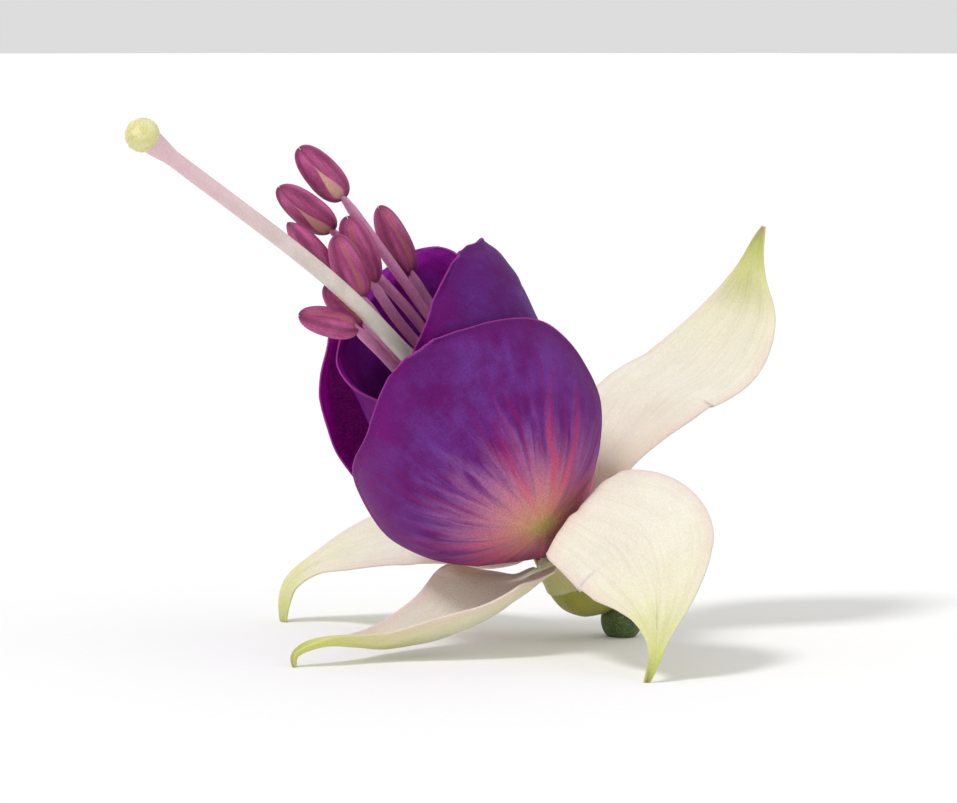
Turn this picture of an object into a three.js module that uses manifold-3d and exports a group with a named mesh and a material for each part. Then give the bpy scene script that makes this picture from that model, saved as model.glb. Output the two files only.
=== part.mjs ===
// A single fuchsia bloom, picked, resting on its ovary and on the tips of three sepals.
// Millimetres, +Z up, the origin on the surface below the middle of the bloom.
//
// The bloom has a frame of its own: `up` runs along the corolla's axis from the mouth of
// the floral tube, `front` and `right` lie across it. Points and curves below are given as
// [front, right, up] in that frame, and angles run round the axis from front towards right.
// Organs that meet at the tube's mouth stand SEAT apart.
import * as THREE from 'three';
import { mergeVertices } from 'three/addons/utils/BufferGeometryUtils.js';
import Module from 'manifold-3d';

const wasm = await Module();
wasm.setup();

const DEG = Math.PI / 180;

// ---- Driving dimensions ----------------------------------------------------------------

const MOUTH = new THREE.Vector3(9.375, 4.2, 8.7); // the middle of the tube's mouth
const AXIS_TILT = 36.3 * DEG; // the corolla's axis, from upright
const AXIS_HEADING = 203.1 * DEG; // the way it leans, round +Z from +X
const SETTLE = 2.5 * DEG; // then a turn round +X, which sets the ovary and three sepal tips down

const SEAT = 0.3; // clearance between organs that meet
const BLADE = 0.6; // thickness of a petal or a sepal

// Floral tube: outer and inner radius at each distance below the mouth.
const TUBE_OUTSIDE = [[0, 3.2], [1.2, 3.6], [3, 3.9], [4.6, 3.8], [5.8, 3.2], [6.6, 2.2], [6.9, 1.7]];
const TUBE_INSIDE = [[0, 2.2], [1.2, 2.45], [3, 2.5], [4.6, 1.9], [5.6, 1.2]];

// Ovary: an egg with four faint ridges below the tube.
const OVARY_TOP = 6.9 + SEAT;
const OVARY_LENGTH = 3.8;
const OVARY_RADIUS = 1.85;
const OVARY_RIDGES = 4;
const OVARY_RIDGE_HEIGHT = 0.05;
const OVARY_TAPER = 0.12; // narrower towards the tube by this share

// Corolla: its radius at each height, shared by the four petals.
const COROLLA = [[0, 2.3], [1.5, 3.8], [3.5, 6.1], [5.5, 8], [8, 9.8], [11, 10.9], [15, 11.3],
  [19, 10.9], [23, 10], [27, 9.1], [31, 8.1]];

// Petals, by rows from claw to top: [height, left edge, right edge, left out, right out]. Edges
// are degrees round the axis, and `out` is how far each stands outside the corolla's radius,
// so that the petals lap over each other.
const PETALS = {
  petal_front: [[0.6, -13, 13, 0, 0], [3.5, -47, 32, 0.3, -0.4], [5.5, -66, 40, 1.1, -0.6],
    [8, -76, 57, 1.4, -0.8], [11, -83, 78, 1.6, -0.75], [14.3, -86, 79, 1.2, -0.65],
    [16.5, -85, 78, 0.9, -0.5], [18.3, -78.5, 76, 0.6, -0.45], [20.2, -65.5, 71, 0.4, -0.35],
    [22, -50, 61.5, 0.4, -0.1], [23.5, -40.5, 50.5, 0.4, 0.1], [25, -30.5, 37, 0.4, 0.3],
    [26.2, -20.5, 22, 0.4, 0.3], [26.9, -8, 10, 0.4, 0.4]],
  petal_upper: [[0.6, 77, 103, 0, 0], [3.5, 51, 129, -1.9, -0.5], [5.5, 54, 126, -2.2, -1],
    [8, 42, 140, -2.9, -1.6], [12, 18, 150, -3, -2], [18, 0, 156, -2.5, -1.5],
    [23, -7, 153, -1.5, 0.6], [25, -8, 145, -1.3, 1.2], [26.4, -5, 132, -1.2, 1.2],
    [27.5, 7, 116, -1.1, 0.9], [28.3, 16.5, 99, -1, 0.5], [29, 24, 87, -1, 0],
    [29.6, 36, 79, -0.9, -0.3], [30, 53, 68, -0.8, -0.6]],
  petal_back: [[0.6, 167, 193, 0, 0], [3.5, 142, 218, -0.6, -0.6], [5.5, 144, 216, -1.7, -1.7],
    [8, 130, 232, -2.9, -2.5], [12, 118, 258, -3.1, -2.4], [17, 112, 296, -3.1, -2.3],
    [21, 112, 314, -2.8, -2.5], [23.3, 114, 312, -2.4, -2.5], [24.8, 117, 292, -2.1, -2.2],
    [26.5, 121, 270, -1.6, -2.1], [27.7, 128, 240, -1, -2.6], [28.5, 138, 206, -0.7, -1.5],
    [28.9, 152, 184, -0.5, -0.8]],
  petal_left: [[0.6, -103, -77, 0, 0], [3.5, -129, -51, -0.4, -0.6], [5.5, -126, -54, -0.9, -0.9],
    [8, -142, -62, -1.3, -1], [12, -156, -76, -1.4, -0.5], [15, -162, -86, -1.4, 0.1],
    [17, -165, -89, -1.4, 0.7], [20, -166, -90, -1.4, 1.2], [22.5, -165, -90, -1.3, 1],
    [24.9, -162, -92, -1.1, 0.5], [26.2, -157, -98, -0.9, -0.2], [27.4, -148, -110, -0.7, -1.1],
    [28.1, -138, -122, -0.4, -1.2]],
};
// Where a petal bulges further out: how far across, at which height, over what spread, how much.
const PETAL_SWELLS = {
  petal_back: { across: 0.8, height: 22.6, spread: [0.17, 3], out: 1.1 },
};

// Sepals: a centre-line from the mouth to the tip; the way the inner face looks and the
// width, each at even steps along it; and how steeply the edges turn up towards the inner
// face, which sets in over the first CUP_START of the length.
const CUP_START = 0.25;
const SEPALS = {
  sepal_front_right: {
    line: [[3.5, 0.7, 0], [5.4, 1.2, 1.7], [7.6, 1.8, 3.8], [9, 2.6, 5.3], [11.1, 3.8, 6.2],
      [15.1, 6.3, 3.4], [19.5, 6.2, 1.6], [23.2, 5.1, 0], [25.7, 2.9, -2.3], [26.3, 0.7, -4]],
    faces: [[-0.66, -0.1, 0.75], [-0.3, -0.2, 0.9], [0.46, 0.06, 0.87], [0.44, 0.09, 0.89],
      [0.95, 0.04, 0.31]],
    widths: [3, 5.8, 8.8, 11.9, 13.3, 11.9, 7.4, 2, 0.3],
    cup: -0.08,
  },
  sepal_back_right: {
    line: [[-2.4, 2.7, 0.1], [-4.6, 6.8, 2.8], [-7.9, 11.9, 3.7], [-9.5, 14.6, 3.6],
      [-10.9, 18.6, 3], [-13.8, 24.3, 4.1], [-14.8, 27.4, 6.6], [-15.6, 30.7, 9.3]],
    faces: [[0.23, -0.44, 0.87], [0.16, -0.05, 0.99], [0.05, 0.21, 0.98], [0.33, -0.23, 0.92],
      [0.74, -0.31, 0.59]],
    widths: [3.6, 7.6, 12.3, 16.2, 17, 15, 10.4, 3.5, 0.3],
    cup: 0.02,
  },
  sepal_front_left: {
    line: [[2.4, -2.7, 0.1], [4.1, -4.7, 1.1], [6.1, -7.8, 1.8], [8.6, -12.2, 3.1],
      [10.7, -17, 5.9], [12.2, -19.2, 8.3], [13.3, -21.2, 10.3], [13.8, -23.6, 11.1],
      [14.3, -24.5, 10.4]],
    faces: [[-0.1, 0.1, 0.98], [0.08, 0.2, 0.97], [-0.2, 0.42, 0.88], [-0.38, 0.58, 0.72],
      [0.22, -0.5, 0.84]],
    widths: [3.4, 8, 10.9, 9.6, 7.9, 5.4, 2.9, 1.8, 0.3],
    cup: 0.55,
  },
  sepal_back_left: {
    line: [[-2.7, -2.4, 0.1], [-5.1, -5.6, 1.3], [-8.1, -8.9, 3.8], [-10.3, -12.2, 4.9],
      [-11.7, -17, 6.4], [-12.7, -20.6, 7], [-13.2, -24.3, 6.7], [-12.7, -26.3, 4.9],
      [-11.9, -27.3, 3.4]],
    faces: [[0.17, 0.22, 0.96], [0.41, 0.32, 0.85], [0.2, 0.26, 0.94], [0.09, -0.01, 1],
      [0.48, -0.59, 0.65]],
    widths: [3.2, 5.5, 7.4, 8.9, 9, 7.5, 3.9, 2.3, 0.3],
    cup: 0.12,
  },
};

// Style and stigma.
const STYLE_LINE = [[0, 0, -5.2], [0, 0, 3], [0.9, -0.4, 13], [2.9, -1.2, 21], [5, -3, 35],
  [7.8, -8.2, 54.7]];
const STYLE_RADIUS = [0.72, 0.7]; // at the foot and at the top
const STYLE_NECK = 0.35; // it widens by this under the stigma
const STIGMA_RADIUS = 1.45;
const STIGMA_LENGTH = 2.7;
const STIGMA_LOBES = 4;
const STIGMA_CLEFT = 0.16; // how far the clefts between its lobes go in at the end

// Stamens: the filament's line from the ring inside the mouth to the anther, and the
// anther's lower and upper end.
const STAMEN_RING = 1.5;
const STAMEN_DEPTH = 0.5; // the ring lies this far below the mouth
const FILAMENT_RADIUS = [0.36, 0.42]; // at the foot and at the anther
const ANTHER_WIDTH = 3.1;
const ANTHER_DEPTH = 2.4;
const ANTHER_WAIST = 0.22; // how far the furrow between the pollen sacs goes in
const STAMENS = [
  { angle: 158, way: [[-2.4, 1.2, 14], [-2.8, 1.5, 26]], anther: [[-2.6, 1.4, 38.5], [-2.6, 0.8, 44.1]] },
  { angle: 202, way: [[-2.4, -0.1, 14], [-2.8, 0.4, 25]], anther: [[-1.2, -1, 37], [-0.5, -2.4, 42.8]] },
  { angle: 292, way: [[0.7, -2.3, 13], [0.8, -2.7, 26.8]], anther: [[1.2, -3, 34.3], [1.2, -3.4, 40.1]] },
  { angle: 22, way: [[0.6, 0.9, 14], [1.6, -1.7, 25.7]], anther: [[3, -1.9, 31.6], [3.3, -0.7, 37.4]] },
  { angle: 68, way: [[-0.6, 0.7, 14], [-0.6, -0.7, 25.2]], anther: [[0.6, -0.6, 31.5], [0.6, 0.9, 37.4]] },
  { angle: 112, way: [[-2.4, 2.6, 14], [-4.4, 2.1, 24.6]], anther: [[-4.4, 2.3, 28.6], [-4, 3.3, 35.1]] },
  { angle: 338, way: [[1.8, -2.3, 13], [2.6, -3.2, 24.6]], anther: [[5, -3.7, 30.2], [5, -6.9, 33.8]] },
  { angle: 248, way: [[-0.7, -2.4, 14], [-0.8, -3, 24.5]], anther: [[-0.8, -3.4, 28.3], [-0.8, -4, 32.9]] },
];

// How finely the organs are divided.
const SEPAL_GRID = [20, 8];
const PETAL_GRID = [18, 16];
const ROW_CROWDING = 1.15; // crowds a petal's rows towards its rounded top
const TUBE_SIDES = 20;
const FILAMENT_GRID = [14, 6];
const STYLE_GRID = [20, 8];
const ANTHER_GRID = [9, 12];

const COLOURS = {
  petal: 0x5a1f7d,
  sepal: 0xeae6d6,
  tube: 0xa6a445,
  ovary: 0x3f5a26,
  filament: 0xb56a97,
  anther: 0x973f78,
  style: 0xd9d4cb,
  stigma: 0xe8dfa0,
};

// ---- The bloom's frame -----------------------------------------------------------------

const UP = new THREE.Vector3(
  Math.sin(AXIS_TILT) * Math.cos(AXIS_HEADING),
  Math.sin(AXIS_TILT) * Math.sin(AXIS_HEADING),
  Math.cos(AXIS_TILT),
);
const FRONT = new THREE.Vector3(0, -1, 0).addScaledVector(UP, UP.y).normalize();
const RIGHT = UP.clone().cross(FRONT);
const BLOOM_FRAME = new THREE.Matrix4().makeRotationX(SETTLE)
  .multiply(new THREE.Matrix4().makeBasis(FRONT, RIGHT, UP))
  .setPosition(MOUTH);

// ---- Curves ----------------------------------------------------------------------------

const vector = (p) => new THREE.Vector3(...p);
const lerp = THREE.MathUtils.lerp;
const clamp = THREE.MathUtils.clamp;

/** A smooth curve through points. */
function curveThrough(points) {
  return new THREE.CatmullRomCurve3(points.map(vector), false, 'catmullrom', 0.5);
}

/** A smooth number at `t` from 0 to 1, through values at even steps. */
function smoothValue(values, t) {
  return curveThrough(values.map((value) => [value, 0, 0])).getPoint(t).x;
}

/** A smooth number at `x`, through [x, value] pairs in rising order of x. */
function smoothTable(pairs, x) {
  const last = pairs.length - 1;
  let i = 0;
  while (i < last - 1 && x > pairs[i + 1][0]) i += 1;
  const step = (x - pairs[i][0]) / (pairs[i + 1][0] - pairs[i][0]);
  return smoothValue(pairs.map((pair) => pair[1]), (i + clamp(step, 0, 1)) / last);
}

/** Eases from 0 to 1 while `x` goes from `start` to `end`. */
const ease = (x, start, end) => THREE.MathUtils.smoothstep(x, start, end);

// ---- Meshes ----------------------------------------------------------------------------

/** A geometry from points and triangles, with its faces turned outwards. */
function solidFrom(points, triangles) {
  let volume = 0;
  for (const [a, b, c] of triangles) {
    volume += points[a].dot(points[b].clone().cross(points[c]));
  }
  const index = triangles.flatMap(([a, b, c]) => (volume > 0 ? [a, b, c] : [a, c, b]));
  const geometry = new THREE.BufferGeometry();
  const positions = points.flatMap((p) => p.toArray());
  geometry.setAttribute('position', new THREE.Float32BufferAttribute(positions, 3));
  geometry.setIndex(index);
  return geometry;
}

/** The unit normal of a grid of points at one crossing. */
function gridNormal(grid, i, j) {
  const rows = grid.length - 1;
  const columns = grid[0].length - 1;
  const along = grid[Math.min(i + 1, rows)][j].clone().sub(grid[Math.max(i - 1, 0)][j]);
  const across = grid[i][Math.min(j + 1, columns)].clone().sub(grid[i][Math.max(j - 1, 0)]);
  return along.cross(across).normalize();
}

/** A closed blade: both faces of a middle surface, split alike, and the edge between them. */
function bladeFrom(grid) {
  const rows = grid.length;
  const columns = grid[0].length;
  const points = [];
  for (const offset of [BLADE / 2, -BLADE / 2]) {
    for (let i = 0; i < rows; i += 1) {
      for (let j = 0; j < columns; j += 1) {
        points.push(grid[i][j].clone().addScaledVector(gridNormal(grid, i, j), offset));
      }
    }
  }
  const under = rows * columns;
  const at = (i, j) => i * columns + j;
  const triangles = [];
  for (let i = 0; i < rows - 1; i += 1) {
    for (let j = 0; j < columns - 1; j += 1) {
      const lower = [at(i, j), at(i + 1, j), at(i + 1, j + 1)];
      const upper = [at(i, j), at(i + 1, j + 1), at(i, j + 1)];
      for (const [a, b, c] of [lower, upper]) {
        triangles.push([a, b, c], [under + a, under + c, under + b]);
      }
    }
  }
  const rim = [];
  for (let j = 0; j < columns - 1; j += 1) rim.push(at(0, j));
  for (let i = 0; i < rows - 1; i += 1) rim.push(at(i, columns - 1));
  for (let j = columns - 1; j > 0; j -= 1) rim.push(at(rows - 1, j));
  for (let i = rows - 1; i > 0; i -= 1) rim.push(at(i, 0));
  rim.forEach((a, k) => {
    const b = rim[(k + 1) % rim.length];
    triangles.push([a, b, under + b], [a, under + b, under + a]);
  });
  return solidFrom(points, triangles);
}

/** A closed skin over rings of points, with a point of its own at each end. */
function skinOver(rings, foot, head) {
  const sides = rings[0].length;
  const points = [...rings.flat(), foot, head];
  const footIndex = points.length - 2;
  const headIndex = points.length - 1;
  const lastRing = (rings.length - 1) * sides;
  const triangles = [];
  for (let j = 0; j < sides; j += 1) {
    const next = (j + 1) % sides;
    for (let i = 0; i < rings.length - 1; i += 1) {
      const low = i * sides;
      const high = low + sides;
      triangles.push([low + j, low + next, high + next], [low + j, high + next, high + j]);
    }
    triangles.push([footIndex, next, j], [headIndex, lastRing + j, lastRing + next]);
  }
  return solidFrom(points, triangles);
}

/** A round rod along a curve; `radiusAt` gives its radius from foot to head. */
function rodAlong(curve, radiusAt, [steps, sides]) {
  const frames = curve.computeFrenetFrames(steps);
  const rings = [];
  for (let i = 0; i <= steps; i += 1) {
    const centre = curve.getPointAt(i / steps);
    const ring = [];
    for (let j = 0; j < sides; j += 1) {
      const angle = (2 * Math.PI * j) / sides;
      const arm = frames.normals[i].clone().multiplyScalar(Math.cos(angle));
      arm.addScaledVector(frames.binormals[i], Math.sin(angle));
      ring.push(centre.clone().addScaledVector(arm, radiusAt(i / steps)));
    }
    rings.push(ring);
  }
  return skinOver(rings, curve.getPointAt(0), curve.getPointAt(1));
}

/** A rounded body along a straight axis; `sectionAt(level, angle)` gives [x, y] across it. */
function bodyAlong(foot, head, side, sectionAt, [levels, sides]) {
  const axis = head.clone().sub(foot);
  const across = side.clone().addScaledVector(axis, -side.dot(axis) / axis.lengthSq()).normalize();
  const over = axis.clone().normalize().cross(across);
  const rings = [];
  for (let i = 1; i < levels; i += 1) {
    const level = (1 - Math.cos((Math.PI * i) / levels)) / 2;
    const centre = foot.clone().addScaledVector(axis, level);
    const ring = [];
    for (let j = 0; j < sides; j += 1) {
      const [x, y] = sectionAt(level, (2 * Math.PI * j) / sides);
      ring.push(centre.clone().addScaledVector(across, x).addScaledVector(over, y));
    }
    rings.push(ring);
  }
  return skinOver(rings, foot, head);
}

// ---- Booleans --------------------------------------------------------------------------

function toManifold(geometry) {
  const bare = geometry.clone();
  bare.deleteAttribute('normal');
  bare.deleteAttribute('uv');
  const merged = mergeVertices(bare, 1e-5);
  return new wasm.Manifold(new wasm.Mesh({
    numProp: 3,
    vertProperties: new Float32Array(merged.attributes.position.array),
    triVerts: new Uint32Array(merged.index.array),
  }));
}

function fromManifold(solid) {
  const mesh = solid.getMesh();
  const geometry = new THREE.BufferGeometry();
  geometry.setAttribute('position', new THREE.BufferAttribute(mesh.vertProperties, 3));
  geometry.setIndex(new THREE.BufferAttribute(mesh.triVerts, 1));
  return geometry;
}

const FLOOR_SLAB = toManifold(
  new THREE.BoxGeometry(200, 200, 40).translate(0, 0, -20).applyMatrix4(BLOOM_FRAME.clone().invert()),
);

/** Trims off what would reach below the surface, which leaves a small flat to rest on. */
function restOnSurface(geometry) {
  return fromManifold(toManifold(geometry).subtract(FLOOR_SLAB));
}

// ---- Organs ----------------------------------------------------------------------------

/** The floral tube: a swollen cup with its mouth at the top, round the bloom's axis. */
function floralTube() {
  const outside = TUBE_OUTSIDE.map(([depth, radius]) => new THREE.Vector2(radius, -depth));
  const inside = TUBE_INSIDE.map(([depth, radius]) => new THREE.Vector2(radius, -depth));
  const bottom = outside.at(-1).y;
  const profile = [
    new THREE.Vector2(0, bottom),
    ...outside.reverse(),
    ...inside,
    new THREE.Vector2(0, inside.at(-1).y),
  ];
  return new THREE.LatheGeometry(profile, TUBE_SIDES).rotateX(Math.PI / 2);
}

/** The ovary: an egg with faint ridges, narrower at the tube. */
function ovary() {
  const section = (level, angle) => {
    const egg = Math.sqrt(Math.max(0, 1 - (2 * level - 1) ** 2)) * (1 - OVARY_TAPER * (2 * level - 1));
    const radius = OVARY_RADIUS * egg + OVARY_RIDGE_HEIGHT * Math.cos(OVARY_RIDGES * angle);
    return [radius * Math.cos(angle), radius * Math.sin(angle)];
  };
  const head = new THREE.Vector3(0, 0, -OVARY_TOP);
  const foot = new THREE.Vector3(0, 0, -OVARY_TOP - OVARY_LENGTH);
  return bodyAlong(foot, head, new THREE.Vector3(1, 0, 0), section, [8, 16]);
}

/** A sepal: a cupped lance-shaped blade along its line. */
function sepal({ line, faces, widths, cup }) {
  const curve = curveThrough(line);
  const [steps, columns] = SEPAL_GRID;
  const grid = [];
  for (let i = 0; i <= steps; i += 1) {
    const t = i / steps;
    const centre = curve.getPointAt(t);
    const along = curve.getTangentAt(t);
    const face = curveThrough(faces).getPoint(t);
    face.addScaledVector(along, -face.dot(along)).normalize();
    const across = face.clone().cross(along);
    const half = smoothValue(widths, t) / 2;
    const row = [];
    for (let j = 0; j <= columns; j += 1) {
      const s = (2 * j) / columns - 1;
      const lift = cup * ease(t, 0, CUP_START) * half * s * s;
      row.push(centre.clone().addScaledVector(across, s * half).addScaledVector(face, lift));
    }
    grid.push(row);
  }
  return restOnSurface(bladeFrom(grid));
}

/** A petal: a broad blade wrapped round the corolla from its narrow claw. */
function petal(rows, bulge) {
  const [steps, columns] = PETAL_GRID;
  const column = (k, height) => smoothTable(rows.map((row) => [row[0], row[k]]), height);
  const grid = [];
  for (let i = 0; i <= steps; i += 1) {
    const share = Math.sin((i / steps) * (Math.PI / 2)) ** ROW_CROWDING;
    const height = lerp(rows[0][0], rows.at(-1)[0], share);
    const [left, right, leftOut, rightOut] = [1, 2, 3, 4].map((k) => column(k, height));
    const row = [];
    for (let j = 0; j <= columns; j += 1) {
      const s = j / columns;
      const angle = lerp(left, right, s) * DEG;
      const plain = smoothTable(COROLLA, height) + lerp(leftOut, rightOut, s);
      const radius = plain + (bulge ? swell(s, height, bulge) : 0);
      row.push(new THREE.Vector3(radius * Math.cos(angle), radius * Math.sin(angle), height));
    }
    grid.push(row);
  }
  return bladeFrom(grid);
}

/** A round bulge of a petal, as a height over its surface. */
function swell(across, height, { across: middle, height: level, spread, out }) {
  const side = (across - middle) / spread[0];
  const rise = (height - level) / spread[1];
  return out * Math.exp(-(side ** 2) - rise ** 2);
}

/** A filament, from the ring inside the mouth to just under its anther. */
function filament({ angle, way, anther }) {
  const ring = (radius, height) => (
    [radius * Math.cos(angle * DEG), radius * Math.sin(angle * DEG), height]
  );
  const seat = vector(anther[0]).sub(vector(way.at(-1))).normalize();
  const head = vector(anther[0]).addScaledVector(seat, -SEAT);
  const start = [ring(STAMEN_RING, -STAMEN_DEPTH), ring(STAMEN_RING + 0.2, 5)];
  const curve = curveThrough([...start, ...way, head.toArray()]);
  return rodAlong(curve, (t) => lerp(...FILAMENT_RADIUS, t), FILAMENT_GRID);
}

/** An anther: two pollen sacs side by side, each with a furrow, fused along the middle. */
function anther({ anther: [foot, head] }) {
  const section = (level, angle) => {
    const swell = Math.max(0, 1 - Math.abs(2 * level - 1) ** 2.6) ** 0.5;
    const waist = 1 - ANTHER_WAIST * Math.abs(Math.sin(angle)) ** 8;
    return [
      (ANTHER_WIDTH / 2) * swell * Math.cos(angle),
      (ANTHER_DEPTH / 2) * swell * waist * Math.sin(angle),
    ];
  };
  return bodyAlong(vector(foot), vector(head), new THREE.Vector3(0, 1, 0.2), section, ANTHER_GRID);
}

/** The style, a long rod from the floor of the tube, which widens a little under the stigma. */
function style() {
  const widen = (t) => STYLE_NECK * ease(t, 0.955, 1);
  return rodAlong(curveThrough(STYLE_LINE), (t) => lerp(...STYLE_RADIUS, t) + widen(t), STYLE_GRID);
}

/** The stigma, a knob of four lobes at the end of the style. */
function stigma() {
  const curve = curveThrough(STYLE_LINE);
  const along = curve.getTangentAt(1);
  const foot = curve.getPointAt(1).addScaledVector(along, SEAT);
  const head = foot.clone().addScaledVector(along, STIGMA_LENGTH);
  const section = (level, angle) => {
    const radius = STIGMA_RADIUS * Math.sqrt(Math.max(0, 1 - (2 * level - 1) ** 2));
    const cleft = STIGMA_CLEFT * level * (1 - Math.cos(STIGMA_LOBES * angle)) / 2;
    const lobe = 1 - cleft;
    return [radius * lobe * Math.cos(angle), radius * lobe * Math.sin(angle)];
  };
  return bodyAlong(foot, head, new THREE.Vector3(1, 0, 0), section, [8, 16]);
}

// ---- The bloom -------------------------------------------------------------------------

const bloom = new THREE.Group();
bloom.applyMatrix4(BLOOM_FRAME);

function addOrgan(name, geometry, color, roughness = 0.6) {
  const material = new THREE.MeshStandardMaterial({ color, roughness, metalness: 0 });
  const mesh = new THREE.Mesh(geometry, material);
  mesh.name = name;
  bloom.add(mesh);
}

addOrgan('ovary', restOnSurface(ovary()), COLOURS.ovary);
addOrgan('floral_tube', floralTube(), COLOURS.tube);
for (const [name, shape] of Object.entries(SEPALS)) {
  addOrgan(name, sepal(shape), COLOURS.sepal);
}
for (const [name, shape] of Object.entries(PETALS)) {
  addOrgan(name, petal(shape, PETAL_SWELLS[name]), COLOURS.petal, 0.45);
}
STAMENS.forEach((stamen, i) => {
  addOrgan(`filament_${i + 1}`, filament(stamen), COLOURS.filament);
  addOrgan(`anther_${i + 1}`, anther(stamen), COLOURS.anther);
});
addOrgan('style', style(), COLOURS.style);
addOrgan('stigma', stigma(), COLOURS.stigma);

const model = new THREE.Group();
model.add(bloom);

export default model;
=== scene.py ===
"""A picked fuchsia bloom, resting on its ovary and on three sepal tips, dressed for show.

Shapes are worked out in millimetres, in the bloom's own frame: `up` runs along the
corolla's axis from the mouth of the floral tube, `front` and `right` lie across it. Points
are [front, right, up], and angles run round the axis from front towards right.
"""

import math

import bpy
import numpy as np
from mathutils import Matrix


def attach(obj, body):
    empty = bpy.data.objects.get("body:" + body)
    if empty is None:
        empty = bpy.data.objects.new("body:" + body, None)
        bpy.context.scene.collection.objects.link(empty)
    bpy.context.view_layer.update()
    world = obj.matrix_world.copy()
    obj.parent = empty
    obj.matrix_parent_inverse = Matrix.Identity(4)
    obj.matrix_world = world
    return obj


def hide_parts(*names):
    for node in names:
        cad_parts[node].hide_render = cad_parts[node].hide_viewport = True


MM = 0.001

# ---- The bloom's frame -----------------------------------------------------------------

MOUTH = np.array([9.375, 4.2, 8.7])  # the middle of the tube's mouth, above the surface
AXIS_TILT = math.radians(36.3)
AXIS_HEADING = math.radians(203.1)
SETTLE = math.radians(2.5)  # a turn round +X that sets the ovary and the sepal tips down

# ---- Sizes of the organs ---------------------------------------------------------------

TUBE_OUTSIDE = [[0, 3.2], [1.2, 3.6], [3, 3.9], [4.6, 3.8], [5.8, 3.2], [6.6, 2.2], [7.1, 1.4]]
TUBE_INSIDE = [[0, 2.2], [1.2, 2.45], [3, 2.5], [4.6, 1.9], [5.6, 1.2], [5.7, 0.1]]
TUBE_LIP = 0.12  # how far the mouth's edge is rounded up
TUBE_RIBS = 8
TUBE_RIB_HEIGHT = 0.05

OVARY_TOP = 7.0
OVARY_LENGTH = 4.0
OVARY_RADIUS = 1.85
OVARY_TAPER = 0.12
OVARY_RIDGES = 4
OVARY_RIDGE_HEIGHT = 0.07

COROLLA = [[0, 2.3], [1.5, 3.8], [3.5, 6.1], [5.5, 8], [8, 9.8], [11, 10.9], [15, 11.3],
           [19, 10.9], [23, 10], [27, 9.1], [31, 8.1]]

# Petals, by rows from claw to top: height, left and right edge in degrees, and how far the
# left and the right edge stand outside the corolla's radius.
PETALS = {
    "petal_front": [
        [0.6, -13, 13, 0, 0], [3.5, -47, 32, 0.3, -0.4], [5.5, -66, 40, 1.1, -0.6],
        [8, -76, 57, 1.4, -0.8], [11, -83, 78, 1.6, -0.75], [14.3, -86, 79, 1.2, -0.65],
        [16.5, -85, 78, 0.9, -0.5], [18.3, -78.5, 76, 0.6, -0.45], [20.2, -65.5, 71, 0.4, -0.35],
        [22, -50, 61.5, 0.4, -0.1], [23.5, -40.5, 50.5, 0.4, 0.1], [25, -30.5, 37, 0.4, 0.3],
        [26.2, -20.5, 22, 0.4, 0.3], [26.9, -8, 10, 0.4, 0.4]],
    "petal_upper": [
        [0.6, 77, 103, 0, 0], [3.5, 51, 129, -1.9, -0.5], [5.5, 54, 126, -2.2, -1],
        [8, 42, 140, -2.9, -1.6], [12, 18, 150, -3, -2], [18, 0, 156, -2.5, -1.5],
        [23, -7, 153, -1.5, 0.6], [25, -8, 145, -1.3, 1.2], [26.4, -5, 132, -1.2, 1.2],
        [27.5, 7, 116, -1.1, 0.9], [28.3, 16.5, 99, -1, 0.5], [29, 24, 87, -1, 0],
        [29.6, 36, 79, -0.9, -0.3], [30, 53, 68, -0.8, -0.6]],
    "petal_back": [
        [0.6, 167, 193, 0, 0], [3.5, 142, 218, -0.6, -0.6], [5.5, 144, 216, -1.7, -1.7],
        [8, 130, 232, -2.9, -2.5], [12, 118, 258, -3.1, -2.4], [17, 112, 296, -3.1, -2.3],
        [21, 112, 314, -2.8, -2.5], [23.3, 114, 312, -2.4, -2.5], [24.8, 117, 292, -2.1, -2.2],
        [26.5, 121, 270, -1.6, -2.1], [27.7, 128, 240, -1, -2.6], [28.5, 138, 206, -0.7, -1.5],
        [28.9, 152, 184, -0.5, -0.8]],
    "petal_left": [
        [0.6, -103, -77, 0, 0], [3.5, -129, -51, -0.4, -0.6], [5.5, -126, -54, -0.9, -0.9],
        [8, -142, -62, -1.3, -1], [12, -156, -76, -1.4, -0.5], [15, -162, -86, -1.4, 0.1],
        [17, -165, -89, -1.4, 0.7], [20, -166, -90, -1.4, 1.2], [22.5, -165, -90, -1.3, 1],
        [24.9, -162, -92, -1.1, 0.5], [26.2, -157, -98, -0.9, -0.2], [27.4, -148, -110, -0.7, -1.1],
        [28.1, -138, -122, -0.4, -1.2]],
}
# Where a petal bulges further out: how far across, at which height, over what spread, how much.
PETAL_SWELLS = {"petal_back": {"across": 0.8, "height": 22.6, "spread": [0.17, 3.0], "out": 1.1}}
PETAL_THICKNESS = [0.4, 0.16, 2]  # in the middle, at the rim, and how wide the thin border is
PETAL_RIPPLE = 0.13
PETAL_RIM_ROLL = 0.28  # how far the free rim rolls outwards
PETAL_RIM_WIDTH = 0.9
FAN_START = 8.5  # how far up from its claw a petal's veins meet

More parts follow.
